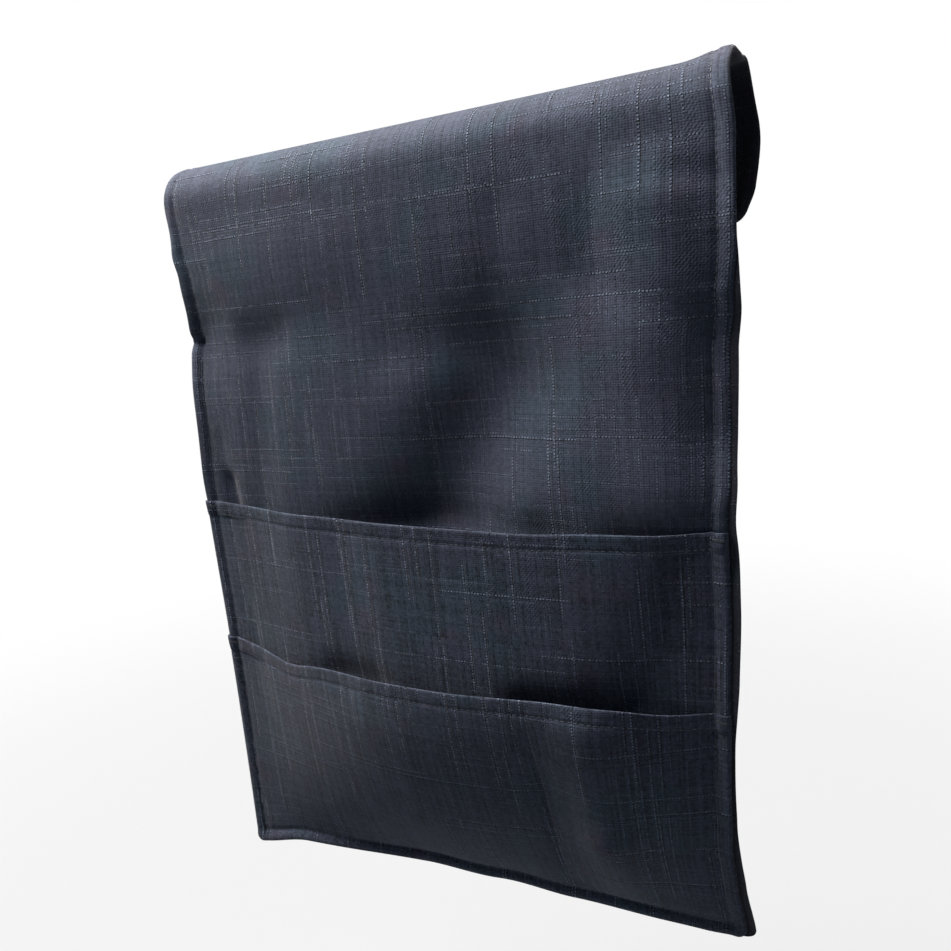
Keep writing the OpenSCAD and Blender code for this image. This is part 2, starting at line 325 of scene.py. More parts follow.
def puckers(along, d, phase):
    ripples = ripple(along, pucker_wave, pucker_fine, phase, fine_turn * phase)
    uneven = (1 - even_share) * np.sin(along / uneven_wave + uneven_turn * phase)
    ripples = ripples * (even_share + uneven)
    return pucker_depth * ripples * bell((d - stitch_inset) / pucker_reach)


def edge_distance(x, z, half, low, radius):
    qx = np.abs(x) - (half - radius)
    qz = (low + radius) - z
    outside = np.hypot(np.maximum(qx, 0), np.maximum(qz, 0))
    return radius - outside - np.minimum(np.maximum(qx, qz), 0)


def corner_width(z, half, low, radius):
    d = np.clip(low + radius - z, 0, radius)
    return half - radius + np.sqrt(np.maximum(radius ** 2 - d ** 2, 0))


welt = 2 * half_thickness(welt_at)
groove = 2 * half_thickness(stitch_inset)
print("welt %.2f mm, groove %.2f mm" % (welt, groove))

# %% How the edges wander
LEFT_EDGE = [
    (-20, 0), (-46, -3), (-62, -6), (-78, -6.5), (-100, -4.5), (-145, -5),
    (-195, -3.5), (-285, -4.5), (-430, -4),
]
RIGHT_EDGE = [
    (0, 0.5), (-33, 3.5), (-75, 3.5), (-100, 1), (-120, -1), (-175, -1),
    (-200, -3.5), (-235, -3.5), (-290, -5.5), (-345, -7), (-370, -8), (-390, -7),
    (-425, -4.5),
]
# How far the near-black lining stands out past the right edge: a thin strip of painted shade.
PAINTED_SHADE_PEEK = [
    (-72, 0), (-100, 3.5), (-120, 3.5), (-165, 2.5), (-222, 5), (-272, 4.5),
    (-310, 2), (-350, 2.5), (-375, 4.5), (-420, 5.5), (-430, 2.5),
]
wander_reach = 60.0


def smooth_line(points, t):
    """A smooth line through a few places: pairs of where and how much, in order."""
    value = points[0][1] + 0.0 * t
    for (t1, much1), (t2, much2) in zip(points, points[1:]):
        value = value + (much2 - much1) * smooth((t - t1) / (t2 - t1))
    return value


def left_shift(z):
    return smooth_line(LEFT_EDGE, z)


def right_shift(z):
    return smooth_line(RIGHT_EDGE, z)


def lining_shade_shift(z):
    return right_shift(z) + smooth_line(PAINTED_SHADE_PEEK, z)


def wander(x, z, left, right):
    near_left = smooth(1 - (x + half_w) / wander_reach)
    near_right = smooth(1 - (half_w - x) / wander_reach)
    return x - left(z) * near_left + right(z) * near_right


print("right edge stands %.1f mm in at the upper mouth" % -right_shift(-upper_mouth))

# %% How the edges curl
left_curl = 2.8
right_curl = 2.4
low_curl = 2.2
curl_reach = 10.0
curl_top = -28.0
curl_rise = 25.0
pocket_hold = 0.55
hold_top = -175.0
hold_run = 30.0


def curled(distance):
    return np.maximum(1 - distance / curl_reach, 0) ** 2


def curl_back(from_left, from_right, z):
    """How far the cloth lies back: the sewn edges curl forward, so the number is negative there."""
    hangs = smooth((curl_top - z) / curl_rise)
    held = 1 - pocket_hold * smooth((hold_top - z) / hold_run)
    left = left_curl * held * curled(from_left)
    right = right_curl * curled(from_right)
    low = low_curl * curled(z - bottom_z)
    return -hangs * (left + right + low)


print("left edge curls forward %.1f mm" % -curl_back(0.0, strip_w, hold_top))

# %% [markdown]
# ## Grids
# Every cloth is a grid of points: coarse in the middle, and fine along the edges and the divider
# seam, where the profile changes within a millimetre. All layers of the strip share one grid, so
# none can show through another. A shell is made of two such grids, the outer and the inner side,
# closed by walls all round. Its UV map is in metres along the threads, because the weave follows
# the cloth. A wear-and-highlight value lightens the ridges along the sewn edges, which rub pale
# first, and on the upper pocket it also paints a highlight along the roll of the mouth.

# %% Columns and rows
EDGE_STEPS = np.array([0, 0.15, 0.5, 1, 1.6, 2.4, 3.4, 4.6, 5.8, 6.8, 7.5, 8.2, 9.4, 11])
SEAM_STEPS = np.array([-3.2, -2, -1.1, -0.5, 0, 0.5, 1.1, 2, 3.2])
cloth_step = 2.8
side_band = 13.5
end_band = 12.5
seam_band = 4.0


def columns():
    middle = np.arange(-half_w + side_band, half_w - side_band, cloth_step)
    middle = middle[np.abs(middle - divider_x) > seam_band]
    every = [EDGE_STEPS - half_w, middle, divider_x + SEAM_STEPS, half_w - EDGE_STEPS]
    return np.sort(np.concatenate(every))


def rows_to(end):
    middle = np.arange(0.0, end - end_band, cloth_step)
    return np.concatenate([middle, end - EDGE_STEPS[::-1]])


print("columns:", len(columns()))

# %% Closed shell
def closed_shell(name, outer, inner, uv, wear_and_highlight, cut_top, material):
    rows, cols = outer.shape[:2]
    count = rows * cols
    points = np.concatenate([outer.reshape(-1, 3), inner.reshape(-1, 3)]) * MM
    index = np.arange(count).reshape(rows, cols)
    corners = [index[:-1, :-1], index[1:, :-1], index[1:, 1:], index[:-1, 1:]]
    front = np.stack(corners, -1).reshape(-1, 4)
    back = front[:, ::-1] + count
    ring = np.concatenate([index[:, 0], index[-1, 1:], index[-2::-1, -1], index[0, -2:0:-1]])
    after = np.roll(ring, -1)
    wall = np.stack([after, ring, ring + count, after + count], -1)
    mesh = bpy.data.meshes.new(name)
    mesh.from_pydata(points.tolist(), [], np.concatenate([front, back, wall]).tolist())
    fill_uv(mesh, np.concatenate([uv.reshape(-1, 2)] * 2))
    attribute = mesh.attributes.new("wear_and_highlight", "FLOAT", "POINT")
    attribute.data.foreach_set("value", np.concatenate([wear_and_highlight.ravel()] * 2).astype(np.float32))
    face_outwards(mesh)
    if cut_top:
        sharpen(mesh, set(index[0].tolist() + (index[0] + count).tolist()))
    mesh.materials.append(material)
    piece = bpy.data.objects.new(name, mesh)
    scene.collection.objects.link(piece)
    print(name, "has", len(mesh.polygons), "faces")
    return piece


def fill_uv(mesh, uv):
    layer = mesh.uv_layers.new(name="UVMap")
    corner = np.zeros(len(mesh.loops), np.int32)
    mesh.loops.foreach_get("vertex_index", corner)
    layer.data.foreach_set("uv", uv[corner].astype(np.float32).ravel())


def face_outwards(mesh):
    work = bmesh.new()
    work.from_mesh(mesh)
    bmesh.ops.recalc_face_normals(work, faces=work.faces[:])
    for face in work.faces:
        face.smooth = True
    work.to_mesh(mesh)
    work.free()


def sharpen(mesh, rim):
    for edge in mesh.edges:
        if edge.vertices[0] in rim and edge.vertices[1] in rim:
            edge.use_edge_sharp = True


# %% [markdown]
# ## Materials
# The cloth is a slub weave: warp and weft threads of uneven thickness, so that here and there a
# thicker, paler thread shows as a dashed line for a few centimetres before it thins out again.
# Under these lines lie fine ribs and, in places, the diagonal of a twill. All of it is drawn from
# the UV map in metres. A node group makes one family of slub threads: it cuts the cloth into lanes,
# cuts every lane into runs, and keeps a random share of the runs. Face, pockets and lining are the
# same weave in their own colours, and the lining keeps few slubs.

# %% Node helpers
def add(tree, kind, **settings):
    made = tree.nodes.new(kind)
    for key, value in settings.items():
        setattr(made, key, value)
    return made


def feed(tree, socket, value):
    if isinstance(value, bpy.types.NodeSocket):
        tree.links.new(value, socket)
    else:
        socket.default_value = value


def feed_all(tree, sockets, values):
    for socket, value in zip(sockets, values):
        feed(tree, socket, value)


def wired(tree, kind, inputs, **settings):
    """A new node with the named inputs fed."""
    made = add(tree, kind, **settings)
    for label, value in inputs.items():
        feed(tree, made.inputs[label], value)
    return made


def settle(node, values):
    for label, value in values.items():
        node.inputs[label].default_value = value


def maths(tree, operation, *values):
    made = add(tree, "ShaderNodeMath", operation=operation)
    feed_all(tree, made.inputs, values)
    return made.outputs[0]


def ramp(tree, value, low, high, to_low=0.0, to_high=1.0):
    made = add(tree, "ShaderNodeMapRange", interpolation_type="SMOOTHSTEP")
    feed_all(tree, made.inputs, (value, low, high, to_low, to_high))
    return made.outputs[0]


def blend_colour(tree, share, low, high, mode="MIX"):
    made = add(tree, "ShaderNodeMix", data_type="RGBA", blend_type=mode)
    feed(tree, made.inputs[0], share)
    feed(tree, made.inputs[6], low)
    feed(tree, made.inputs[7], high)
    return made.outputs[2]


def join(tree, x, y, z=0.0):
    made = add(tree, "ShaderNodeCombineXYZ")
    feed_all(tree, made.inputs, (x, y, z))
    return made.outputs[0]


# %% Parts of a material
def new_material(name):
    material = bpy.data.materials.new(name)
    material.use_nodes = True
    tree = material.node_tree
    return material, tree, tree.nodes["Principled BSDF"]


def cloth_axes(tree):
    """The UV map, and apart from it u across the cloth and v along it."""
    cloth = add(tree, "ShaderNodeUVMap", uv_map="UVMap").outputs[0]
    split = add(tree, "ShaderNodeSeparateXYZ")
    feed(tree, split.inputs[0], cloth)
    return cloth, split.outputs[0], split.outputs[1]


def emboss(tree, shader, height, strength, distance):
    given = {"Strength": strength, "Distance": distance, "Height": height}
    bump = wired(tree, "ShaderNodeBump", given)
    feed(tree, shader.inputs["Normal"], bump.outputs["Normal"])


# %% Slub thread group
run_spread = 37.0
start_spread = 0.5
end_least = 0.55
end_spread = 0.45
taper = 0.1
core_at = 0.40
shadow_beside_at = 0.78
beat_shift = 0.37


def kept_runs(group, given, lane_number):
    """How strongly a thread shows: 0 in the runs left out, and tapered at both ends of a kept one."""
    shift = add(group, "ShaderNodeTexWhiteNoise", noise_dimensions="2D")
    feed(group, shift.inputs["Vector"], join(group, lane_number, given["Seed"]))
    run = maths(group, "DIVIDE", given["Along"], given["Run"])
    run = maths(group, "MULTIPLY_ADD", shift.outputs["Value"], run_spread, run)
    run_number = maths(group, "FLOOR", run)
    place = maths(group, "FRACT", run)
    dice = add(group, "ShaderNodeTexWhiteNoise", noise_dimensions="3D")
    feed(group, dice.inputs["Vector"], join(group, lane_number, run_number, given["Seed"]))
    throws = add(group, "ShaderNodeSeparateColor")
    feed(group, throws.inputs[0], dice.outputs["Color"])
    kept = maths(group, "LESS_THAN", dice.outputs["Value"], given["Share"])
    start = maths(group, "MULTIPLY", throws.outputs[0], start_spread)
    end = maths(group, "MULTIPLY_ADD", throws.outputs[1], end_spread, end_least)
    grown = ramp(group, place, start, maths(group, "ADD", start, taper))
    thinned = ramp(group, place, maths(group, "SUBTRACT", end, taper), end, 1.0, 0.0)
    strong = maths(group, "MULTIPLY_ADD", throws.outputs[2], 0.5, 0.5)
    length = maths(group, "MULTIPLY", grown, thinned)
    return maths(group, "MULTIPLY", maths(group, "MULTIPLY", kept, strong), length)


def dashes(group, given, lane_number):
    """The beat of pale spots where the thread passes over its neighbours."""
    step = maths(group, "DIVIDE", given["Along"], given["Dash"])
    beat = maths(group, "MULTIPLY_ADD", lane_number, beat_shift, step)
    sway = maths(group, "SINE", maths(group, "MULTIPLY", beat, 2 * math.pi))
    uneven = add(group, "ShaderNodeTexWhiteNoise", noise_dimensions="2D")
    feed(group, uneven.inputs["Vector"], join(group, maths(group, "FLOOR", beat), lane_number))
    bright = ramp(group, uneven.outputs["Value"], 0.0, 0.9, 0.25, 1.0)
    return maths(group, "MULTIPLY", ramp(group, sway, -0.8, 0.5, 0.12, 1.0), bright)


def lane_line(group, across, at, full, gone):
    off = maths(group, "ABSOLUTE", maths(group, "SUBTRACT", across, at))
    return ramp(group, off, full, gone, 1.0, 0.0)


def slub_group():
    group = bpy.data.node_groups.new("slub_threads", "ShaderNodeTree")
    for label in ("Along", "Across", "Lane", "Run", "Share", "Dash", "Seed"):
        group.interface.new_socket(label, in_out="INPUT", socket_type="NodeSocketFloat")
    for label in ("Thread", "Shade"):
        group.interface.new_socket(label, in_out="OUTPUT", socket_type="NodeSocketFloat")
    given = add(group, "NodeGroupInput").outputs
    lane = maths(group, "DIVIDE", given["Across"], given["Lane"])
    lane_number = maths(group, "FLOOR", lane)
    across = maths(group, "FRACT", lane)
    shown = kept_runs(group, given, lane_number)
    dash = dashes(group, given, lane_number)
    core = maths(group, "MULTIPLY", lane_line(group, across, core_at, 0.10, 0.34), shown)
    # The shade beside each thread is a painted shadow, below a weft thread and right of a warp
    # thread, away from the lamp.
    shadow_beside = maths(group, "MULTIPLY", lane_line(group, across, shadow_beside_at, 0.05, 0.22), shown)
    between = maths(group, "MULTIPLY", core, maths(group, "SUBTRACT", 0.8, dash))
    shade = maths(group, "MAXIMUM", between, shadow_beside)
    thread = maths(group, "MULTIPLY", core, dash)
    wired(group, "NodeGroupOutput", {"Thread": thread, "Shade": shade})
    return group


SLUB = slub_group()
print("slub threads have", len(SLUB.nodes), "nodes")

# %% Threads of the ground weave
def noise(tree, vector, scale, detail=2.0):
    given = {"Vector": vector, "Scale": scale, "Detail": detail}
    return wired(tree, "ShaderNodeTexNoise", given).outputs["Fac"]


def wave(tree, value, period):
    turns = maths(tree, "MULTIPLY", value, 2 * math.pi / period)
    return maths(tree, "SINE", turns)


def dyed_apart(tree, first, first_size, second, second_size, seed):
    """A random number from -0.5 to 0.5 for each cell of a grid over the cloth."""
    made = add(tree, "ShaderNodeTexWhiteNoise", noise_dimensions="3D")
    column = maths(tree, "FLOOR", maths(tree, "DIVIDE", first, first_size))
    row = maths(tree, "FLOOR", maths(tree, "DIVIDE", second, second_size))
    feed(tree, made.inputs["Vector"], join(tree, column, row, seed))
    return maths(tree, "SUBTRACT", made.outputs["Value"], 0.5)


def weighted(tree, start, *pairs):
    total = start
    for value, weight in pairs:
        total = maths(tree, "MULTIPLY_ADD", value, weight, total)
    return total


# %% Slub lines
# Each family of threads is given by the width of a lane, the length of a run and that of a dash.
WARP_SLUBS = (0.0018, 0.110, 0.0016)
WEFT_SLUBS = (0.0016, 0.140, 0.0017)
WARP_FINE = (0.0014, 0.045, 0.0015)
WEFT_FINE = (0.0014, 0.070, 0.0015)
warp_fine_share = 0.16
weft_fine_share = 0.14


def slub_threads(tree, along, across, family, share, seed):
    lane, run, dash = family
    made = add(tree, "ShaderNodeGroup", node_tree=SLUB)
    feed_all(tree, made.inputs, (along, across, lane, run, share, dash, seed))
    return made.outputs


def slub_lines(tree, u, v, seed, warp_share, weft_share, fine_weight):
    """The pale threads, and the shade: a painted shadow beside them, and a darker tone between their
    dashes.
    """
    warp = slub_threads(tree, v, u, WARP_SLUBS, warp_share, seed)
    weft = slub_threads(tree, u, v, WEFT_SLUBS, weft_share, seed + 3)
    warp_fine = slub_threads(tree, v, u, WARP_FINE, warp_fine_share, seed + 5)
    weft_fine = slub_threads(tree, u, v, WEFT_FINE, weft_fine_share, seed + 7)
    lines = []
    for label in ("Thread", "Shade"):
        coarse = maths(tree, "MAXIMUM", warp[label], weft[label])
        fine = maths(tree, "MAXIMUM", warp_fine[label], weft_fine[label])
        lines.append(maths(tree, "MULTIPLY_ADD", fine, fine_weight, coarse))
    return lines


# %% Slub weave
warp_pitch = 0.0013
weft_pitch = 0.0011
warp_run = 0.055
weft_run = 0.045
twill_pitch = 0.0019
twill_slope = 0.8
patch_narrow = 2.4
slub_cover = 0.9
weave_relief = 0.0006


def ground_colour(tree, cloth, dark, mauve, teal):
    warm = ramp(tree, noise(tree, cloth, 34.0, 3.0), 0.54, 0.70)
    cool = ramp(tree, noise(tree, cloth, 19.0, 3.0), 0.48, 0.62)
    return blend_colour(tree, warm, blend_colour(tree, cool, dark, teal), mauve)


def twill_patches(tree, u, v):
    slant = wave(tree, maths(tree, "MULTIPLY_ADD", v, twill_slope, u), twill_pitch)
    tall = join(tree, maths(tree, "MULTIPLY", u, patch_narrow), v)
    return maths(tree, "MULTIPLY", slant, ramp(tree, noise(tree, tall, 42.0), 0.47, 0.63))


# Lightens the cloth towards the pale thread by the wear-and-highlight value: wear along the sewn
# edges, and a painted highlight along the upper pocket's mouth.
def rub_and_highlight(tree, cloth):
    worn_and_lit = add(tree, "ShaderNodeAttribute", attribute_name="wear_and_highlight").outputs["Fac"]
    return maths(tree, "MULTIPLY", worn_and_lit, ramp(tree, noise(tree, cloth, 300.0), 0.3, 0.7, 0.35, 1.0))


def slub_weave(name, tones, seed, warp_share, weft_share, sheen, contrast, fine_weight):
    dark, mauve, teal, pale = tones
    material, tree, shader = new_material(name)
    cloth, u, v = cloth_axes(tree)
    slub, shade = slub_lines(tree, u, v, seed, warp_share, weft_share, fine_weight)
    ribs = wave(tree, u, warp_pitch)
    picks = wave(tree, v, weft_pitch)
    twill = twill_patches(tree, u, v)
    crossing = dyed_apart(tree, u, warp_pitch, v, weft_pitch, seed)
    warp_tone = dyed_apart(tree, u, warp_pitch, v, warp_run, seed + 1)
    weft_tone = dyed_apart(tree, v, weft_pitch, u, weft_run, seed + 2)
    grain = weighted(tree, 1.0, (crossing, 0.40 * contrast), (warp_tone, 0.34 * contrast))
    grain = weighted(tree, grain, (weft_tone, 0.20 * contrast))
    # The shade darkens the colour here as painted shadow.
    tone = weighted(tree, grain, (ribs, 0.06), (twill, 0.10), (shade, -0.75))
    colour = ground_colour(tree, cloth, dark, mauve, teal)
    colour = blend_colour(tree, 1.0, colour, join(tree, tone, tone, tone), "MULTIPLY")
    colour = blend_colour(tree, maths(tree, "MULTIPLY", slub, slub_cover), colour, pale)
    colour = blend_colour(tree, rub_and_highlight(tree, cloth), colour, pale)
    feed(tree, shader.inputs["Base Color"], colour)
    height = weighted(tree, slub, (ribs, 0.05), (picks, 0.04), (twill, 0.06))
    height = weighted(tree, height, (crossing, 0.22), (shade, -0.5))
    emboss(tree, shader, height, 1.0, weave_relief)
    feed(tree, shader.inputs["Roughness"], ramp(tree, slub, 0.0, 1.0, 0.93, 0.8))
    settle(shader, {"Specular IOR Level": 0.2, "Sheen Weight": sheen, "Sheen Roughness": 0.40})
    settle(shader, {"Sheen Tint": (1.0, 0.96, 0.95, 1)})
    print(name, "has", len(tree.nodes), "nodes")
    return material


# %% Face, pocket and lining cloth
slate = (0.066, 0.078, 0.116, 1)
mauve_grey = (0.073, 0.075, 0.115, 1)
teal_grey = (0.058, 0.080, 0.114, 1)
pale_slub = (0.32, 0.40, 0.56, 1)
pocket_pale = (0.43, 0.53, 0.74, 1)
lining_dark = (0.017, 0.018, 0.027, 1)
lining_mauve = (0.020, 0.018, 0.028, 1)
lining_teal = (0.015, 0.020, 0.028, 1)
lining_pale = (0.075, 0.090, 0.125, 1)
FACE_CLOTH = slub_weave(
    "face_slub_weave", (slate, mauve_grey, teal_grey, pale_slub), seed=11.0,
    warp_share=0.12, weft_share=0.10, sheen=0.24, contrast=1.0, fine_weight=0.55,
)
POCKET_CLOTH = slub_weave(
    "pocket_slub_weave", (slate, mauve_grey, teal_grey, pocket_pale), seed=29.0,
    warp_share=0.18, weft_share=0.07, sheen=0.24, contrast=1.6, fine_weight=0.35,
)
LINING_CLOTH = slub_weave(
    "lining_weave", (lining_dark, lining_mauve, lining_teal, lining_pale), seed=43.0,
    warp_share=0.07, weft_share=0.07, sheen=0.05, contrast=1.0, fine_weight=0.55,
)

# %% Interlining and thread
def felt(name, dark, pale, period):
    material, tree, shader = new_material(name)
    cloth, u, v = cloth_axes(tree)
    over = maths(tree, "MULTIPLY", wave(tree, u, period), wave(tree, v, period))
    cloudy = noise(tree, cloth, 140.0, 4.0)
    share = maths(tree, "MULTIPLY_ADD", over, 0.2, cloudy)
    colour = blend_colour(tree, ramp(tree, share, 0.2, 0.8), dark, pale)
    feed(tree, shader.inputs["Base Color"], colour)
    emboss(tree, shader, share, 0.4, 0.0002)
    feed(tree, shader.inputs["Roughness"], ramp(tree, cloudy, 0.3, 0.7, 0.92, 1.0))
    settle(shader, {"Specular IOR Level": 0.2})
    return material


def sewing_thread(name, dark, pale):
    material, tree, shader = new_material(name)
    place = add(tree, "ShaderNodeTexCoord").outputs["Object"]
    ply = noise(tree, place, 2600.0, 2.0)
    colour = blend_colour(tree, ramp(tree, ply, 0.3, 0.7), dark, pale)
    feed(tree, shader.inputs["Base Color"], colour)
    emboss(tree, shader, ply, 0.5, 0.0001)
    feed(tree, shader.inputs["Roughness"], ramp(tree, ply, 0.3, 0.7, 0.5, 0.65))
    return material


FELT = felt("interlining_felt", (0.30, 0.29, 0.27, 1), (0.42, 0.41, 0.38, 1), period=0.004)
THREAD = sewing_thread("sewing_thread", (0.045, 0.050, 0.065, 1), (0.085, 0.092, 0.112, 1))
print("also made:", FELT.name, "and", THREAD.name)

# %% [markdown]
# ## Face cloth, interlining and lining
# On the real object each of these is one strip over the whole length. Here each is made in two
# halves that meet in the flat middle of the crown.

# %% How the crown, the flap and the bottom stray
flare_up = 2.8
flare_rear = 2.0
flare_rear_run = 20.0
flare_x = 136.0
flare_width = 24.0
flare_s = 16.0
flare_fade = 26.0
flap_bulge = 2.6
flap_bulge_z = -26.0
flap_bulge_reach = 16.0
FLAP_DRAWS = [(-38, 22, 1.6), (-48, 18, 5.0)]
BOTTOM_SLACK = [
    (-160, -1.5), (-115, -8), (-30, -9), (15, -4.5), (60, 0), (105, 1), (136, 0.5),
    (160, -1),
]
slack_reach = 60.0


def crown_flare(x, s, sign):
    """The sewn edge stands up a little at the right end of the crown, more so behind."""
    rear = flare_rear * smooth(s / flare_rear_run) if sign < 0 else 0.0
    near_end = smooth((x - flare_x) / flare_width)
    return (flare_up + rear) * near_end * (1 - smooth((s - flare_s) / flare_fade))


def flap_shift(z):
    """The flap's right edge bulges below the bend and draws in towards the flap's end."""
    shift = flap_bulge * bell((z - flap_bulge_z) / flap_bulge_reach)
    for top, run, much in FLAP_DRAWS:
        shift = shift - much * smooth((top - z) / run)
    return shift


def no_shift(z):
    return 0 * z


def hang_low(x, z):
    """How much lower than the ruled line the bottom edge hangs, faded out above it."""
    return smooth_line(BOTTOM_SLACK, x) * smooth(1 - (z - bottom_z) / slack_reach)


print("bottom edge hangs %.1f mm high in the middle" % -hang_low(0.0, bottom_z))

# %% Halves of the strip
shade_peek_reach = 9.0


class Half:
    """One half of the strip: its path, its direction along the cloth, and how its edges wander."""

    def __init__(self, path, end_s, low, sign, left, right, lining_right):
        self.path = path
        self.end_s = end_s
        self.low = low
        self.sign = sign
        self.left = left
        self.right = right
        self.lining_right = lining_right

    def grid(self, cols, rows):
        flat_x, s = np.meshgrid(cols, rows)
        z = bend_z + bend_s - s
        x = flat_x * corner_width(z, half_w, self.low, corner_r) / half_w
        d = edge_distance(x, z, half_w, self.low, corner_r)
        return x, s, z, np.maximum(d, 0)

    def layer(self, x, s, z, depth, lining=False):
        point, out = self.path(x, s)
        drawn = wander(x, z, self.left, self.right)
        # At the right the lining stands out past the face as a strip of painted shade.
        if lining:
            shade_peek = self.lining_right(z) - self.right(z)
            drawn = drawn + shade_peek * smooth(1 - (half_w - x) / shade_peek_reach)
        from_right = half_w + self.right(z) - drawn if lining else half_w - x
        back = curl_back(half_w + x, from_right, z) if self.sign > 0 else 0 * z
        point = point - out * (depth + back)[..., None]
        point[..., 0] = drawn
        point[..., 2] = point[..., 2] + crown_flare(x, s, self.sign)
        if self.sign > 0:
            point[..., 2] = point[..., 2] - hang_low(x, z)
        return point


flap_low = bend_z + bend_s - flap_s
FRONT = Half(front_path, bottom_s, bottom_z, 1, left_shift, right_shift, lining_shade_shift)
REAR = Half(rear_path, flap_s, flap_low, -1, no_shift, flap_shift, flap_shift)
print("halves: %.0f and %.0f mm" % (FRONT.end_s, REAR.end_s))

# %% Depths of the layers
arch_fade = 12.0
welt_press = 0.8
seam_gap = 0.03
layer_gap = 0.06
least_t = 0.05
least_lining = 0.2
lining_ease_from = 2.0
lining_ease = 5.0


def over_arch(s):
    return 1 - smooth((s - bend_s) / arch_fade)


def face_outer_depth(s, d, along):
    half = half_thickness(d)
    flatter = welt_press * np.maximum(half - half_t, 0) * over_arch(s)
    return half_t - half + flatter - puckers(along, d, face_phase)


def face_depths(s, d, along):
    outer = face_outer_depth(s, d, along)
    inner = np.minimum(outer + face_t, half_t - seam_gap)
    return outer, np.maximum(inner, outer + least_t)


def lining_depths(s, d):
    half = half_thickness(d)
    flat = half - np.maximum(half - half_t, 0) * over_arch(s)
    back_side = half_t + np.maximum(flat, least_lining)
    face_side = np.maximum(back_side - lining_t, half_t + layer_gap)
    near_edge = 1 - smooth((d - lining_ease_from) / lining_ease)
    return face_side + (half_t + layer_gap - face_side) * near_edge, back_side


middle_depths = face_depths(bottom_s / 2, half_w, 0.0)
print("face cloth lies %.2f to %.2f mm deep" % middle_depths)

# %% Face cloth
face_wear = 0.04
wear_at = 2.0
wear_width = 1.5


def edge_wear(d, amount):
    return amount * bell((d - wear_at) / wear_width)


def strip_shell(name, half, places, depths, wear_and_highlight, material, lining=False):
    """A closed cloth between two depths below the outer side of one half of the strip."""
    x, s, z, _ = places
    outer, inner = [half.layer(x, s, z, depth, lining) for depth in depths]
    uv = np.stack([x, half.sign * s], -1) * MM
    return closed_shell(name, outer, inner, uv, wear_and_highlight, True, material)


def face_shell(name, half):
    places = half.grid(columns(), rows_to(half.end_s))
    _, s, _, d = places
    depths = face_depths(s, d, half.sign * s)
    return strip_shell(name, half, places, depths, edge_wear(d, face_wear), FACE_CLOTH)


face_front = face_shell("face_cloth_front", FRONT)
face_rear = face_shell("face_cloth_rear", REAR)

# %% Lining
def lining_shell(name, half):
    places = half.grid(columns(), rows_to(half.end_s))
    _, s, _, d = places
    return strip_shell(name, half, places, lining_depths(s, d), 0 * d, LINING_CLOTH, True)


lining_front = lining_shell("lining_front_half", FRONT)
lining_rear = lining_shell("lining_rear_half", REAR)

# %% Interlining
seam_slip = 0.01


def interlining_shell(name, half):
    cols = columns()
    cols = cols[np.abs(cols) <= seam_half + seam_slip]
    rows = rows_to(half.end_s)
    rows = rows[rows <= half.end_s - stitch_inset + seam_slip]
    places = half.grid(cols, rows)
    _, s, _, d = places
    outer = face_depths(s, d, half.sign * s)[1] + layer_gap
    inner = np.maximum(lining_depths(s, d)[0] - layer_gap, outer + least_t)
    return strip_shell(name, half, places, (outer, inner), 0 * d, FELT)


interlining_front = interlining_shell("interlining_front_half", FRONT)
interlining_rear = interlining_shell("interlining_rear_half", REAR)

# %% [markdown]
# ## Pocket panels
# Each panel is one cloth, sewn in with the edges of the strip, with its mouth turned down into a
# hem. It stands off the cloth behind it, so the mouth gapes a little. The fold at the mouth is a
# round roll, the hem stitching presses a groove below it, and the lower panel is pulled in by one
# divider seam. The panel is written as a stand-off from what lies behind it, which keeps the upper
# panel clear of the drop and the lower panel clear of the upper one. Swells are written like the
# folds, as a share of the stand-off, and dents are taken off it.

# %% Mouths
UPPER_MOUTH = [
    (-160, -194), (-98, -197.5), (-40, -199), (63, -201.5), (98, -200), (135, -201),
    (160, -199.5),
]
LOWER_MOUTH = [
    (-160, -282), (-99, -291), (-74, -286), (-21, -284), (16, -284.5), (80, -282),
    (104, -283.5), (129, -289.5), (160, -291),
]
mouth_round = 9.0
mouth_samples = 7


def along_mouth(points, x):
    """The mouth's height: a straight run between neighbouring places, rounded where they meet."""
    places = np.array(points, float)
    spread = np.linspace(-mouth_round, mouth_round, mouth_samples)
    runs = [np.interp(x + shift, places[:, 0], places[:, 1]) for shift in spread]
    return sum(runs) / len(spread)


def upper_line(x):
    return along_mouth(UPPER_MOUTH, x)


def lower_line(x):
    return along_mouth(LOWER_MOUTH, x)


print("upper mouth at %.0f mm, lower mouth at %.0f mm" % (upper_line(0.0), lower_line(0.0)))

# %% Stand-off of both panels
left_slack = 0.12
taut_from = -150.0
taut_run = 140.0
round_power = 4
fill_power = 2.2


def plateau(d):
    return 1 - clamp(np.abs(d)) ** round_power


def fill(z, mouth_z):
    return 1 - clamp((mouth_z - z) / (mouth_z - bottom_seam_z)) ** fill_power


def taut(x):
    """The panels lie closer to the strip towards the left."""
    return left_slack + (1 - left_slack) * smooth((x - taut_from) / taut_run)


print("at the left edge a panel keeps %.0f %% of its stand-off" % (100 * taut(-half_w)))

# %% Stand-off of the upper panel
UPPER_SWELLS = [
    (-90, -205, -98, -290, 20, 0.25),
    (-50, -210, -52, -285, 18, -0.15),
    (-20, -302, 30, -302, 36, 0.12),
]
UPPER_DENTS = [
    (60, -299, 138, -299, 13, 5.6),
    (143, -222, 118, -290, 22, 3.6),
    (-62, -294, -40, -296, 12, 2.5),
    (-141, -256, -139, -292, 6, 1.6),
]
dent_limit = 0.8
right_soften = 1.4
right_soften_run = 85.0


def upper_bow_at(x, z):
    swells = 1 + folds_at(x, z, UPPER_SWELLS)
    softer = right_soften * smooth((-upper_mouth - z) / right_soften_run)
    power = np.where(x > 0, round_power - softer, round_power)
    across = 1 - clamp(np.abs(x / seam_half)) ** power
    return upper_bow * taut(x) * across * fill(z, -upper_mouth) * swells


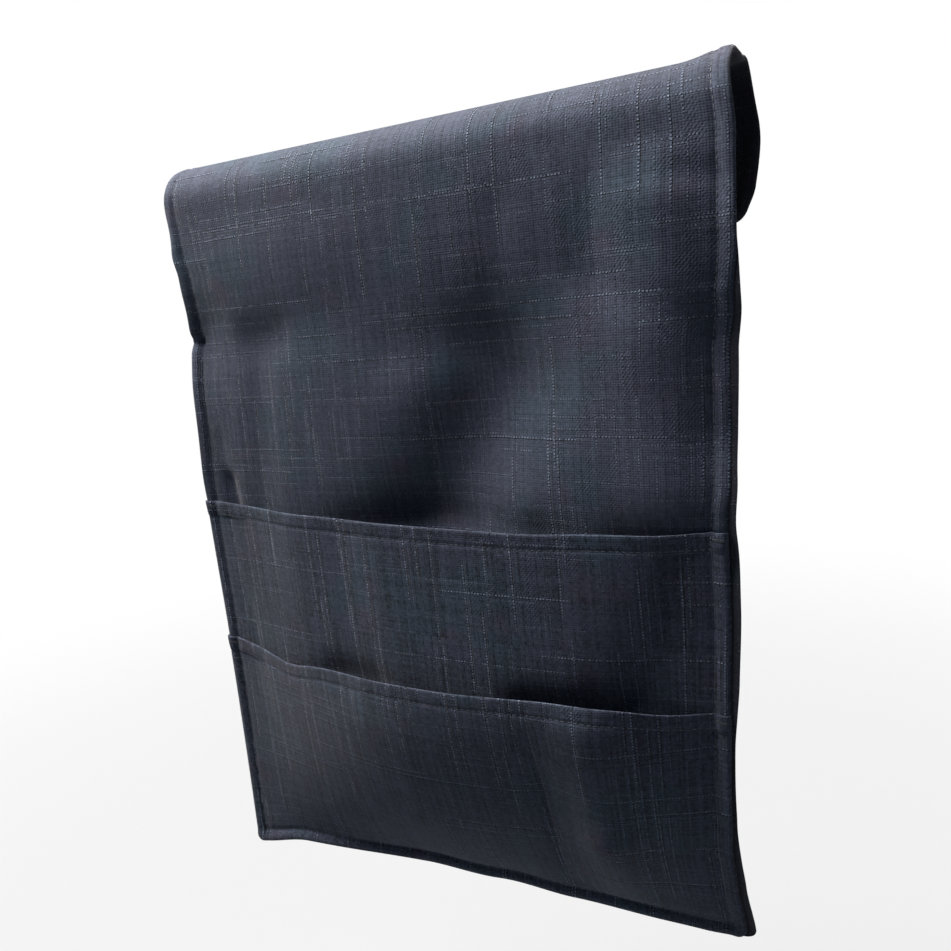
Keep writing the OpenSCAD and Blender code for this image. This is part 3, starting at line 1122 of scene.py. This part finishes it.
def upper_stand(x, z):
    bow = upper_bow_at(x, z)
    return bow - np.minimum(folds_at(x, z, UPPER_DENTS), dent_limit * bow)


print("upper panel stands %.1f mm off in the middle" % upper_stand(0.0, -upper_mouth))

# %% Stand-off of the lower panel
LOWER_SWELLS = [
    (-40, -315, 0, -320, 40, 0.1),
    (96, -300, 94, -395, 20, 0.6),
    (94, -372, 92, -425, 18, 0.9),
    (152, -300, 158, -400, 24, -0.4),
]
valley_run = 60.0
valley_left = 46.0
valley_right = 24.0
valley_deep = 0.46
crease_deep = 0.36
crease_width = 7.0
crease_power = 1.4


def lower_bow_at(x, z):
    below = clamp((-lower_mouth - z) / valley_run)
    off = x - divider_x
    crease = crease_deep * np.exp(-np.abs(off / crease_width) ** crease_power)
    hollow = valley_deep * bell(off / np.where(off < 0, valley_left, valley_right))
    valley = smooth(below) * (crease + hollow)
    swells = 1 + folds_at(x, z, LOWER_SWELLS)
    bow = lower_bow * taut(x) * plateau(x / seam_half) * fill(z, -lower_mouth)
    return bow * swells * (1 - valley)


print("lower panel stands %.1f mm off in the middle" % lower_bow_at(0.0, -lower_mouth))

# %% Hem profile
roll_r = 0.8
roll_back = 1.4
hem_stitch_at = 8.0
hem_end = 8.4
hem_fade = 1.2
hem_fold = 0.15
hem_fold_at = 1.6
hem_fold_width = 1.8
hem_press = 0.34
hem_press_width = 0.9
side_r = 1.4
side_least = 0.06
hem_least = 0.04
hem_pucker = 0.14
hem_pucker_reach = 3.0
hem_wave = 2.3
hem_fine = 1.31
hem_turn = 2.1


def hem_roll(e):
    return rounded(e / roll_r)


def hem_doubling(e):
    return pocket_t * (1 - smooth((e - hem_end) / hem_fade))


def hem_thickness(e, d):
    fold = hem_fold * bell((e - hem_fold_at) / hem_fold_width)
    pressed = hem_press * bell((e - hem_stitch_at) / hem_press_width)
    side = side_least + (1 - side_least) * rounded(d / side_r)
    thick = hem_roll(e) * (pocket_t + hem_doubling(e) + fold - pressed) * side
    return np.maximum(thick, hem_least)


def hem_puckers(x, e, phase):
    ripples = ripple(x, hem_wave, hem_fine, phase, hem_turn * phase)
    return hem_pucker * ripples * bell((e - hem_stitch_at) / hem_pucker_reach)


roll_t = hem_thickness(hem_fold_at, half_w)
groove_t = hem_thickness(hem_stitch_at, half_w)
print("hem roll %.1f mm, groove %.1f mm" % (roll_t, groove_t))

# %% Sides of the panels
panel_over = 0.25
panel_half = half_w + panel_over
panel_low = bottom_z - panel_over
sewn_gap = 0.06
flush_run = 2.0
upper_phase = 2.7
lower_phase = 4.1


def panel_sides(x, z, behind, line, bow, phase):
    d = np.maximum(edge_distance(x, z, panel_half, panel_low, corner_r), 0)
    e = np.maximum(line(x) - z, 0)
    stand = bow(x, z)
    flush = (pocket_t - hem_doubling(e)) * smooth(stand / flush_run)
    inner = behind(x, z) - sewn_gap - stand - flush - (1 - hem_roll(e)) * roll_back
    outer = inner - hem_thickness(e, d)
    outer = outer - puckers(z, d, phase) - hem_puckers(x, e, phase)
    return inner, outer


def welted_drop(x, z):
    d = np.maximum(edge_distance(x, z, half_w, bottom_z, corner_r), 0)
    return base_y(x, z) + curl_back(half_w + x, half_w - x, z) - (half_thickness(d) - half_t)


def upper_sides(x, z):
    return panel_sides(x, z, welted_drop, upper_line, upper_stand, upper_phase)


def undented_upper(x, z):
    return panel_sides(x, z, welted_drop, upper_line, upper_bow_at, upper_phase)[1]


def lower_sides(x, z):
    return panel_sides(x, z, undented_upper, lower_line, lower_bow_at, lower_phase)


print("upper panel's inner side is at y = %.1f mm" % upper_sides(0.0, -upper_mouth - hem_end)[0])

# %% Panels
HEM_STEPS = np.array([0, 0.1, 0.35, 0.75, 1.2, 1.8, 2.8, 4, 5.4, 6.8, 7.6, 8.2, 8.8, 9.5, 10.5, 12])
panel_wear = 0.03
rim_at = 0.4
rim_width = 0.8


def panel_shell(name, sides, line, cells, uv_shift, rim_highlight_and_wear):
    flat_x = columns() * panel_half / half_w
    top = line(flat_x)
    hem = top[None, :] - HEM_STEPS[:, None]
    low_rows = (panel_low + EDGE_STEPS[::-1])[:, None] + 0 * top[None, :]
    share = np.linspace(0, 1, cells + 1)[1:-1, None]
    middle = hem[-1:] + share * (low_rows[:1] - hem[-1:])
    z = np.concatenate([hem, middle, low_rows])
    x = flat_x[None, :] * corner_width(z, panel_half, panel_low, corner_r) / panel_half
    inner_y, outer_y = sides(x, z)
    drawn_x = wander(x, z, left_shift, right_shift)
    drawn_z = z - hang_low(x, z)
    outer = np.stack([drawn_x, outer_y, drawn_z], -1)
    inner = np.stack([drawn_x, inner_y, drawn_z], -1)
    uv = np.stack([x, -z], -1) * MM + np.array(uv_shift)
    e = top[None, :] - z
    d = edge_distance(x, z, panel_half, panel_low, corner_r)
    # The rim term is a painted highlight along the roll of the mouth, partly wear; the edge term is
    # wear.
    wear_and_highlight = rim_highlight_and_wear * bell((e - rim_at) / rim_width) + edge_wear(d, panel_wear)
    return closed_shell(name, outer, inner, uv, wear_and_highlight, False, POCKET_CLOTH)


# The upper mouth gets a faint painted highlight along its roll, the lower one none.
upper_panel = panel_shell("upper_pocket_panel", upper_sides, upper_line, 76, (1.31, 0.73), 0.05)
lower_panel = panel_shell("lower_pocket_panel", lower_sides, lower_line, 44, (2.87, 1.94), 0.0)

# %% [markdown]
# ## Stitches
# A row of stitches is the same short thread again and again along a path, so Geometry Nodes make
# it: the path is resampled at the stitch pitch, and a small rounded thread is set on every point,
# turned along the path and up from the cloth. A bar tack is the same with the threads turned across
# and packed close. Every result becomes a plain mesh, one for each seam.

# %% Stitch tree
stitch_sway = 0.1


def tree_input(tree, label, kind):
    return tree.interface.new_socket(label, in_out="INPUT", socket_type="NodeSocket" + kind)


def stitch_turn(tree, given):
    """The rotation of a stitch: along the path, up from the cloth, then turned and a little off."""
    name = {"Name": "cloth_normal"}
    up = wired(tree, "GeometryNodeInputNamedAttribute", name, data_type="FLOAT_VECTOR")
    tangent = {"Vector": add(tree, "GeometryNodeInputTangent").outputs[0]}
    along = wired(tree, "FunctionNodeAlignRotationToVector", tangent, axis="X")
    normal = {"Rotation": along.outputs[0], "Vector": up.outputs["Attribute"]}
    lying = wired(tree, "FunctionNodeAlignRotationToVector", normal, axis="Z", pivot_axis="X")
    sway = wired(tree, "FunctionNodeRandomValue", {"Seed": given["Seed"]}, data_type="FLOAT")
    sway.inputs[2].default_value = -stitch_sway
    sway.inputs[3].default_value = stitch_sway
    angle = maths(tree, "ADD", given["Turn"], sway.outputs[1])
    spin = wired(tree, "FunctionNodeAxisAngleToRotation", {"Axis": (0, 0, 1), "Angle": angle})
    turns = {"Rotation": lying.outputs[0], "Rotate By": spin.outputs[0]}
    return wired(tree, "FunctionNodeRotateRotation", turns, rotation_space="LOCAL").outputs[0]


def stitch_tree():
    tree = bpy.data.node_groups.new("stitch_row", "GeometryNodeTree")
    tree_input(tree, "Path", "Geometry")
    for label in ("Pitch", "Length", "Width", "Height", "Turn"):
        tree_input(tree, label, "Float")
    tree_input(tree, "Seed", "Int")
    tree_input(tree, "Thread", "Material")
    tree.interface.new_socket("Stitches", in_out="OUTPUT", socket_type="NodeSocketGeometry")
    given = add(tree, "NodeGroupInput").outputs
    curve = wired(tree, "GeometryNodeMeshToCurve", {"Mesh": given["Path"]})
    spacing = {"Curve": curve.outputs[0], "Length": given["Pitch"]}
    spaced = wired(tree, "GeometryNodeResampleCurve", spacing, mode="LENGTH")
    ball = wired(tree, "GeometryNodeMeshUVSphere", {"Segments": 8, "Rings": 5, "Radius": 0.5})
    size = join(tree, given["Length"], given["Width"], given["Height"])
    shape = {"Geometry": ball.outputs["Mesh"], "Scale": size}
    shaped = wired(tree, "GeometryNodeTransform", shape)
    setting = {"Points": spaced.outputs[0], "Instance": shaped.outputs[0]}
    setting["Rotation"] = stitch_turn(tree, given)
    rows = wired(tree, "GeometryNodeInstanceOnPoints", setting)
    plain = wired(tree, "GeometryNodeRealizeInstances", {"Geometry": rows.outputs[0]})
    soft = wired(tree, "GeometryNodeSetShadeSmooth", {"Geometry": plain.outputs[0]})
    dye = {"Geometry": soft.outputs[0], "Material": given["Thread"]}
    dyed = wired(tree, "GeometryNodeSetMaterial", dye)
    wired(tree, "NodeGroupOutput", {"Stitches": dyed.outputs[0]})
    return tree


STITCH_TREE = stitch_tree()
print("stitch tree has", len(STITCH_TREE.nodes), "nodes")

# %% Sewing along a path
def guide_path(name, paths):
    points = np.concatenate([p for p, n in paths]) * MM
    normals = np.concatenate([n for p, n in paths])
    edges = []
    first = 0
    for path_points, _ in paths:
        edges += [(first + i, first + i + 1) for i in range(len(path_points) - 1)]
        first += len(path_points)
    mesh = bpy.data.meshes.new(name)
    mesh.from_pydata(points.tolist(), edges, [])
    up = mesh.attributes.new("cloth_normal", "FLOAT_VECTOR", "POINT")
    up.data.foreach_set("vector", normals.astype(np.float32).ravel())
    guide = bpy.data.objects.new(name, mesh)
    scene.collection.objects.link(guide)
    return guide


def sew(name, paths, pitch, length, width, height, turn=0.0, seed=1):
    guide = guide_path(name + "_path", paths)
    modifier = guide.modifiers.new("stitches", "NODES")
    modifier.node_group = STITCH_TREE
    given = {"Pitch": pitch * MM, "Length": length * MM, "Width": width * MM, "Height": height * MM}
    given.update({"Turn": turn, "Seed": seed, "Thread": THREAD})
    for item in STITCH_TREE.interface.items_tree:
        if item.name in given:
            modifier[item.identifier] = given[item.name]
    graph = bpy.context.evaluated_depsgraph_get()
    made = bpy.data.meshes.new_from_object(guide.evaluated_get(graph))
    made.name = name
    bpy.data.objects.remove(guide)
    piece = bpy.data.objects.new(name, made)
    scene.collection.objects.link(piece)
    print(name, "has", len(made.polygons), "faces")
    return piece


# %% Seam paths
probe = 0.2
mouth_clear = 0.4
path_step = 1.0
path_start = 0.2
divider_start = 11.0


def on_strip(half, x, s):
    z = bend_z + bend_s - s
    d = np.maximum(edge_distance(x, z, half_w, half.low, corner_r), 0)
    point = half.layer(x, s, z, face_outer_depth(s, d, half.sign * s))
    return point, half.path(x, s)[1]


def on_panel(sides, x, z):
    y = sides(x, z)[1]
    slope_x = (sides(x + probe, z)[1] - sides(x - probe, z)[1]) / (2 * probe)
    slope_z = (sides(x, z + probe)[1] - sides(x, z - probe)[1]) / (2 * probe)
    normal = np.stack([slope_x, -1 + 0 * x, slope_z], -1)
    normal = normal / np.linalg.norm(normal, axis=-1, keepdims=True)
    return np.stack([wander(x, z, left_shift, right_shift), y, z - hang_low(x, z)], -1), normal


def on_front(x, s):
    z = bend_z + bend_s - s
    point, normal = on_strip(FRONT, x, s)
    for line, sides in ((upper_line, upper_sides), (lower_line, lower_sides)):
        below = (z < line(x) - mouth_clear)[:, None]
        panel_point, panel_normal = on_panel(sides, x, z)
        point = np.where(below, panel_point, point)
        normal = np.where(below, panel_normal, normal)
    return point, normal


def border(end_s):
    down = np.arange(path_start, end_s - stitch_inset, path_step)
    across = np.arange(-seam_half, seam_half, path_step)
    x = np.concatenate([-seam_half + 0 * down, across, seam_half + 0 * down])
    s = np.concatenate([down, end_s - stitch_inset + 0 * across, down[::-1]])
    return x, s


def hem_path(sides, line):
    x = np.arange(-seam_half + path_step / 2, seam_half, path_step)
    return on_panel(sides, x, line(x) - hem_stitch_at)


def divider_path():
    top = lower_line(divider_x) - divider_start
    z = np.arange(top, bottom_seam_z + path_step, -path_step)
    return on_panel(lower_sides, divider_x + 0 * z, z)


print("border path has", len(border(bottom_s)[0]), "points")

# %% Stitch rows
EDGE_THREAD = {"pitch": 3.4, "length": 2.9, "width": 0.55, "height": 0.42}
HEM_THREAD = {"pitch": 3.2, "length": 2.7, "width": 0.5, "height": 0.4}
edge_front = sew("edge_stitches_front", [on_front(*border(bottom_s))], seed=3, **EDGE_THREAD)
edge_rear = sew("edge_stitches_rear", [on_strip(REAR, *border(flap_s))], seed=5, **EDGE_THREAD)
upper_hem = sew("upper_hem_stitches", [hem_path(upper_sides, upper_line)], seed=7, **HEM_THREAD)
lower_hem = sew("lower_hem_stitches", [hem_path(lower_sides, lower_line)], seed=9, **HEM_THREAD)
divider = sew("divider_stitches", [divider_path()], seed=11, **HEM_THREAD)

# %% Bar tacks
TACK_THREAD = {"pitch": 0.55, "length": 2.0, "width": 0.42, "height": 0.4, "turn": math.pi / 2}
tack_inner = 6.6
tack_outer = 1.6
tack_points = 11
tack_drop = 3.6


def tack_path(side, sides, line):
    x = side * np.linspace(half_w - tack_inner, half_w - tack_outer, tack_points)
    return on_panel(sides, x, line(x) - tack_drop)


tack_rows = []
for side in (-1, 1):
    tack_rows.append(tack_path(side, upper_sides, upper_line))
    tack_rows.append(tack_path(side, lower_sides, lower_line))
bar_tacks = sew("bar_tack_stitches", tack_rows, seed=13, **TACK_THREAD)

# %% [markdown]
# ## Joining the frame
# Every cloth stands for its CAD solids, which are hidden. The halves of the strip and their edge
# stitches stay where they are made, and the panels and their stitches ride on the front drop.

# %% Hidden solids and bodies
STRIP_PIECES = [
    (face_front, "front", "face_cloth", ["face_front", "face_saddle"]),
    (face_rear, "rear", "face_cloth", ["face_rear"]),
    (interlining_front, "front", "interlining", ["interlining_front", "interlining_saddle"]),
    (interlining_rear, "rear", "interlining", ["interlining_rear"]),
    (lining_front, "front", "lining_cloth", ["lining_front", "lining_saddle"]),
    (lining_rear, "rear", "lining_cloth", ["lining_rear"]),
    (edge_front, "front", "thread", ["edge_stitch_front", "edge_stitch_saddle"]),
    (edge_rear, "rear", "thread", ["edge_stitch_rear"]),
]
for piece, half, slot, nodes in STRIP_PIECES:
    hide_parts(*nodes)
    if half == "front":
        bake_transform(piece)
    else:
        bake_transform(piece)

DROP_PIECES = [
    (upper_panel, "pocket_cloth", "upper_pocket"),
    (lower_panel, "pocket_cloth", "lower_pocket"),
    (upper_hem, "thread", "upper_hem_stitch"),
    (lower_hem, "thread", "lower_hem_stitch"),
    (divider, "thread", "divider_stitch"),
    (bar_tacks, "thread", "bar_tacks"),
]
for piece, slot, node in DROP_PIECES:
    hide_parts(node)
    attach(piece, "front_drop")

# %% Sheets
print("sheets: two halves of three layers, and two panels")

# %% [markdown]
# ## Floor and light
# A plain pale floor lies a little below the strip. One broad lamp hangs above, to the left and a
# little in front, so the drop is lit at a slant, which shows its folds. A smaller warm lamp, over
# the crown and a little behind it, makes the crown the brightest part. The background is white only
# where it is seen, straight or mirrored, so it adds no diffuse light. A faint blue sky fills the
# shadows.

# %% Floor
floor_z = -0.62
floor_r = 8.0
white_near = 0.66
white_far = 1.5


def camera_sees(tree):
    path = add(tree, "ShaderNodeLightPath").outputs
    seen = maths(tree, "MAXIMUM", path["Is Camera Ray"], path["Is Glossy Ray"])
    return maths(tree, "MAXIMUM", seen, path["Is Transmission Ray"])


def floor_paint():
    material, tree, matt = new_material("pale_floor")
    place = add(tree, "ShaderNodeTexCoord").outputs["Object"]
    grain = ramp(tree, noise(tree, place, 60.0, 3.0), 0.2, 0.8)
    pale = blend_colour(tree, grain, (0.31, 0.32, 0.34, 1), (0.33, 0.34, 0.36, 1))
    seen = camera_sees(tree)
    colour = blend_colour(tree, seen, (0.10, 0.11, 0.12, 1), pale)
    feed(tree, matt.inputs["Base Color"], colour)
    settle(matt, {"Roughness": 0.9})
    white = add(tree, "ShaderNodeEmission")
    away = add(tree, "ShaderNodeVectorMath", operation="LENGTH")
    feed(tree, away.inputs[0], place)
    far = ramp(tree, away.outputs["Value"], white_near, white_far, 0.80, 1.0)
    mixed = add(tree, "ShaderNodeMixShader")
    share = maths(tree, "MULTIPLY", far, seen)
    feed_all(tree, mixed.inputs, (share, matt.outputs[0], white.outputs[0]))
    feed(tree, tree.nodes["Material Output"].inputs["Surface"], mixed.outputs[0])
    return material


floor_mesh = bpy.data.meshes.new("floor")
disc = bmesh.new()
bmesh.ops.create_circle(disc, cap_ends=True, segments=96, radius=floor_r)
bmesh.ops.translate(disc, verts=disc.verts, vec=(0, 0, floor_z))
disc.to_mesh(floor_mesh)
disc.free()
floor = bpy.data.objects.new("floor", floor_mesh)
floor.data.materials.append(floor_paint())
scene.collection.objects.link(floor)
print("floor %.2f m below the crown" % -floor_z)

# %% World
fill_light = 0.052
world = bpy.data.worlds.new("studio")
world.use_nodes = True
scene.world = world
sky = world.node_tree
soft = sky.nodes["Background"]
settle(soft, {"Color": (0.46, 0.67, 1.0, 1), "Strength": fill_light})
white = add(sky, "ShaderNodeBackground")
settle(white, {"Color": (1, 1, 1, 1), "Strength": 1.0})
chosen = add(sky, "ShaderNodeMixShader")
feed_all(sky, chosen.inputs, (camera_sees(sky), soft.outputs[0], white.outputs[0]))
feed(sky, sky.nodes["World Output"].inputs["Surface"], chosen.outputs[0])
print("fill", fill_light)

# %% Lamps
def area_lamp(name, at, aim, width, depth, watts, colour):
    data = bpy.data.lights.new(name, "AREA")
    data.shape = "RECTANGLE"
    data.size = width
    data.size_y = depth
    data.energy = watts
    data.color = colour
    lamp = bpy.data.objects.new(name, data)
    lamp.location = at
    lamp.rotation_euler = (Vector(aim) - Vector(at)).to_track_quat("-Z", "Y").to_euler()
    scene.collection.objects.link(lamp)


area_lamp("ceiling_light", at=(-0.50, -0.21, 1.02), aim=(0.0, -0.04, -0.15),
          width=0.6, depth=0.6, watts=37.0, colour=(1.0, 0.965, 0.925))
area_lamp("crown_light", at=(-0.10, 0.22, 0.85), aim=(0.0, 0.0, 0.0),
          width=0.5, depth=0.3, watts=5.5, colour=(1.0, 0.88, 0.74))

# %% [markdown]
# ## Colour
# The view transform is Standard, so a colour renders as it is written.

# %% Finish
scene.view_settings.view_transform = "Standard"
